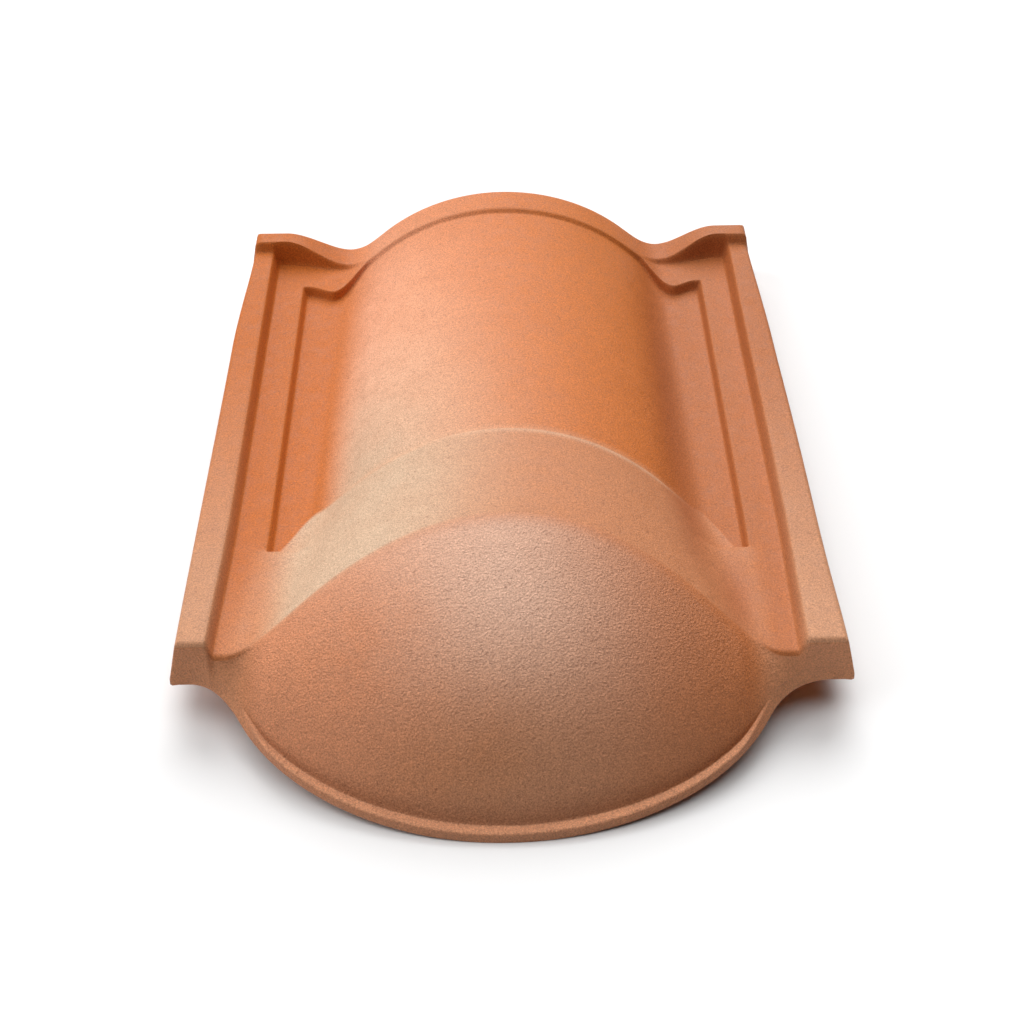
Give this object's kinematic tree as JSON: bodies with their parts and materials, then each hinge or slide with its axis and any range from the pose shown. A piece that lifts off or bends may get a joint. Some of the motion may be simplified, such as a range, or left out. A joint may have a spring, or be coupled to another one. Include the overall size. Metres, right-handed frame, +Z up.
{
  "type": "decorative ridge tile",
  "caption": "Pressed clay ridge tile with a shallow barrel, grooved side flanges, a raised lip at the far end and a bulging rounded nose, hollow underneath.",
  "frame": {"origin": "centre of the tile's footprint, on the surface it rests on", "axes": "+Z up, +Y along the barrel away from the nose, +X across to the right as seen from the nose"},
  "size_m": [0.3, 0.416, 0.0743],
  "materials": {
    "terracotta": "unglazed fired clay, matt, with flashed colour from orange to straw and brown"
  },
  "bodies": {
    "root": {"ridge_tile": "terracotta"}
  },
  "joints": []
}
